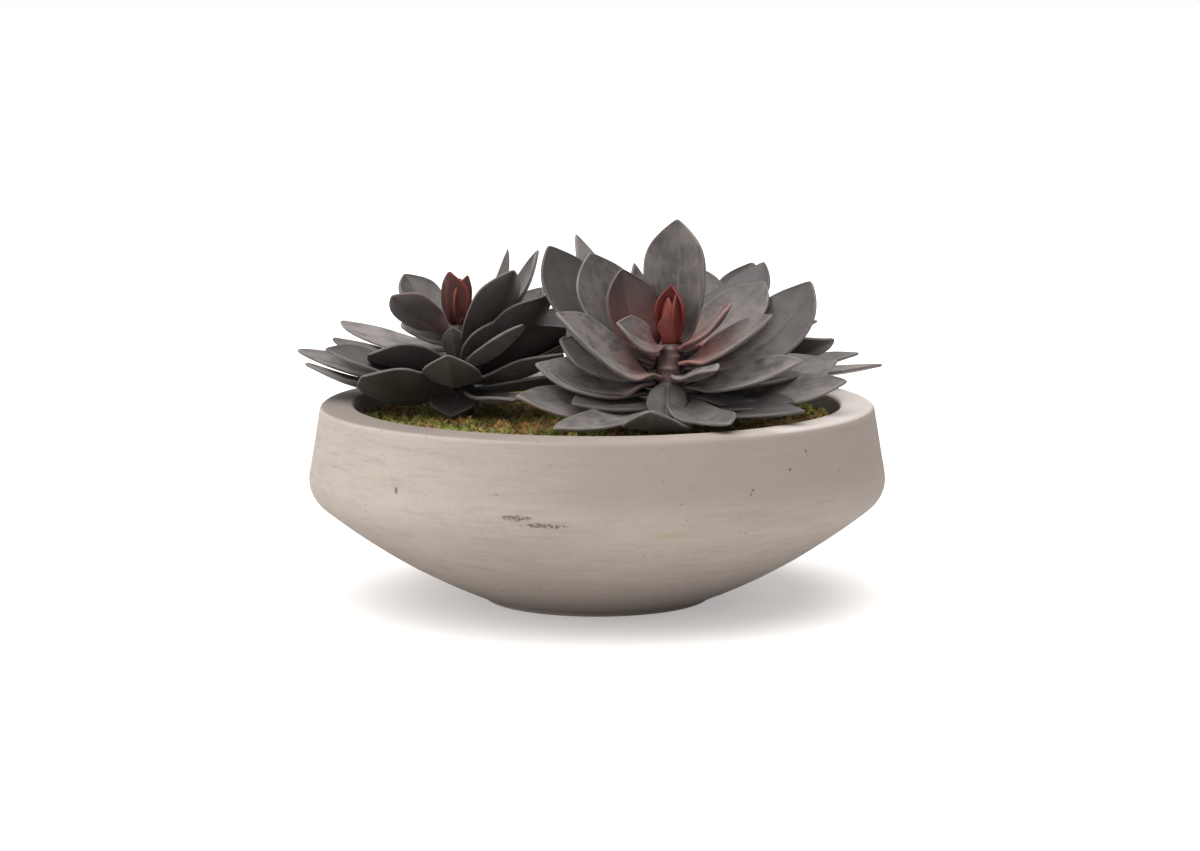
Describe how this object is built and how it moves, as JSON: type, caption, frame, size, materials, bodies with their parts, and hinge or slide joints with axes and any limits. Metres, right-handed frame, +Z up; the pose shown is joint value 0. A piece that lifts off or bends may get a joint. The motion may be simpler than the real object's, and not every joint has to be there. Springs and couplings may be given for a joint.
{
  "type": "potted echeveria",
  "caption": "Low round concrete bowl planted with dark grey echeveria rosettes on short stems, with moss over the potting soil.",
  "frame": {"origin": "centre of the bowl's flat foot, on the surface it stands on", "axes": "+Z up; +X to the right and -Y to the front, the side from which the left and right rosettes show best"},
  "size_m": [0.4261, 0.4042, 0.2687],
  "materials": {
    "concrete": "matte",
    "potting_soil": "matte",
    "moss": "matte",
    "stem": "matte",
    "bud": "satin",
    "leaf": "matte"
  },
  "bodies": {
    "root": {"bowl": "concrete", "potting_soil": "potting_soil", "moss_mat": "moss", "stem_right": "stem", "stem_left": "stem", "stem_back": "stem", "bud_right": "bud", "bud_left": "bud", "leaf_right_01": "leaf", "leaf_right_02": "leaf", "leaf_right_03": "leaf", "leaf_right_04": "leaf", "leaf_right_05": "leaf", "leaf_right_06": "leaf", "leaf_right_07": "leaf", "leaf_right_08": "leaf", "leaf_right_09": "leaf", "leaf_right_10": "leaf", "leaf_right_11": "leaf", "leaf_right_12": "leaf", "leaf_right_13": "leaf", "leaf_right_14": "leaf", "leaf_right_15": "leaf", "leaf_right_16": "leaf", "leaf_right_17": "leaf", "leaf_right_18": "leaf", "leaf_right_19": "leaf", "leaf_right_20": "leaf", "leaf_right_21": "leaf", "leaf_right_22": "leaf", "leaf_left_01": "leaf", "leaf_left_02": "leaf", "leaf_left_03": "leaf", "leaf_left_04": "leaf", "leaf_left_05": "leaf", "leaf_left_06": "leaf", "leaf_left_07": "leaf", "leaf_left_08": "leaf", "leaf_left_09": "leaf", "leaf_left_10": "leaf", "leaf_left_11": "leaf", "leaf_left_12": "leaf", "leaf_left_13": "leaf", "leaf_left_14": "leaf", "leaf_left_15": "leaf", "leaf_left_16": "leaf", "leaf_left_17": "leaf", "leaf_left_18": "leaf", "leaf_left_19": "leaf", "leaf_left_20": "leaf", "leaf_back_01": "leaf", "leaf_back_02": "leaf", "leaf_back_03": "leaf", "leaf_back_04": "leaf", "leaf_back_05": "leaf", "leaf_back_06": "leaf", "leaf_back_07": "leaf", "leaf_back_08": "leaf", "leaf_back_09": "leaf", "leaf_back_10": "leaf"}
  },
  "joints": []
}
